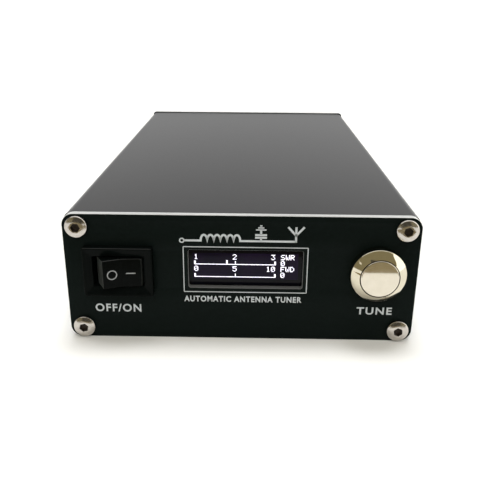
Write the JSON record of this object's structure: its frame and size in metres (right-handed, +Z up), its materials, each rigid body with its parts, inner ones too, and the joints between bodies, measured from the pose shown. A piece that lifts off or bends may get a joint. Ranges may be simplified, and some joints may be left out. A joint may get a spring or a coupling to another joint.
{
  "type": "antenna tuner",
  "caption": "Compact automatic antenna tuner: flat black aluminium case with a rocker switch, display window and push button in front, coaxial sockets behind.",
  "frame": {"origin": "middle of the object's footprint, at the level of the surface it stands on", "axes": "+X right and +Z up as seen from the front, +Y from the front panel to the rear"},
  "size_m": [0.076, 0.1548, 0.029],
  "materials": {
    "case_black": "matte black anodised, fine grained",
    "panel_black": "satin black anodised with bright cut edges",
    "steel_bright": "nickel-plated, polished",
    "black_plastic": "moulded black, semi-gloss",
    "button_metal": "champagne nickel, polished",
    "display_glass": "polished glass over a dark panel",
    "board_green": "solder-masked fibreglass",
    "relay_plastic": "moulded",
    "ferrite": "coated powder-iron",
    "copper_wire": "enamelled copper",
    "ceramic": "dipped ceramic",
    "can_sleeve": "shrunk sleeve",
    "chip_epoxy": "moulded epoxy",
    "sink_aluminium": "plain extruded",
    "socket_nickel": "nickel plated",
    "insulator_white": "white fluoroplastic",
    "contact_gold": "gold plated",
    "spring_steel": "drawn wire",
    "tin_plate": "tinned",
    "brass_plain": "turned brass",
    "nylon_black": "moulded",
    "lead_insulation": "soft insulated",
    "foam_black": "thin foam"
  },
  "bodies": {
    "case": {"upper_case": "case_black", "lower_case": "case_black", "front_panel": "panel_black", "rear_panel": "panel_black", "front_panel_screws": "steel_bright", "rear_panel_screws": "steel_bright", "switch_housing": "black_plastic", "switch_terminals": "tin_plate", "button_bezel": "button_metal", "button_spring": "spring_steel", "button_washer": "tin_plate", "button_nut": "button_metal", "button_base": "nylon_black", "button_terminals": "contact_gold", "display_gasket": "foam_black", "display_glass": "display_glass", "display_board": "board_green", "display_header": "nylon_black", "main_board": "board_green", "relay_bases": "nylon_black", "relay_covers": "relay_plastic", "inductor_cores": "ferrite", "inductor_windings": "copper_wire", "air_coils": "copper_wire", "disc_capacitors": "ceramic", "filter_capacitors": "can_sleeve", "voltage_regulator": "chip_epoxy", "heat_sink": "sink_aluminium", "controller_socket": "nylon_black", "controller_chip": "chip_epoxy", "relay_drivers": "chip_epoxy", "crystal": "tin_plate", "bridge_cores": "ferrite", "bridge_windings": "copper_wire", "bridge_stubs": "nylon_black", "coax_shells": "socket_nickel", "coax_insulators": "insulator_white", "coax_contacts": "contact_gold", "flange_screws": "steel_bright", "flange_nuts": "steel_bright", "inlet_housing": "nylon_black", "inlet_pin": "socket_nickel", "inlet_nut": "steel_bright", "ground_stud": "brass_plain", "ground_washer": "tin_plate", "ground_nuts": "steel_bright", "switch_leads": "lead_insulation", "button_leads": "lead_insulation", "display_leads": "lead_insulation", "inlet_leads": "lead_insulation", "antenna_leads": "lead_insulation"},
    "rocker": {"switch_rocker": "black_plastic", "rocker_plunger": "brass_plain", "rocker_spring": "spring_steel"},
    "contact_lever": {"contact_lever": "brass_plain"},
    "button": {"button_cap": "button_metal", "button_clip": "spring_steel"}
  },
  "joints": [
    {"name": "rocker_tilt", "type": "hinge", "parent": "case", "child": "rocker", "pos_m": [-0.0263, -0.07135, 0.01645], "axis": [0, 0, 1], "range_deg": [-26, 0]},
    {"name": "lever_tilt", "type": "hinge", "parent": "case", "child": "contact_lever", "pos_m": [-0.0263, -0.06535, 0.01645], "axis": [0, 0, 1], "range_deg": [0, 12.01]},
    {"name": "button_press", "type": "slide", "parent": "case", "child": "button", "axis": [0, 1, 0], "range_m": [0, 0.0012], "stiffness_N_per_m": 1500, "springref_m": -0.0005, "deforming": ["button_spring"]}
  ],
  "couplings": [
    {"joint": "lever_tilt", "follows": "rocker_tilt", "ratio": -0.46154}
  ]
}
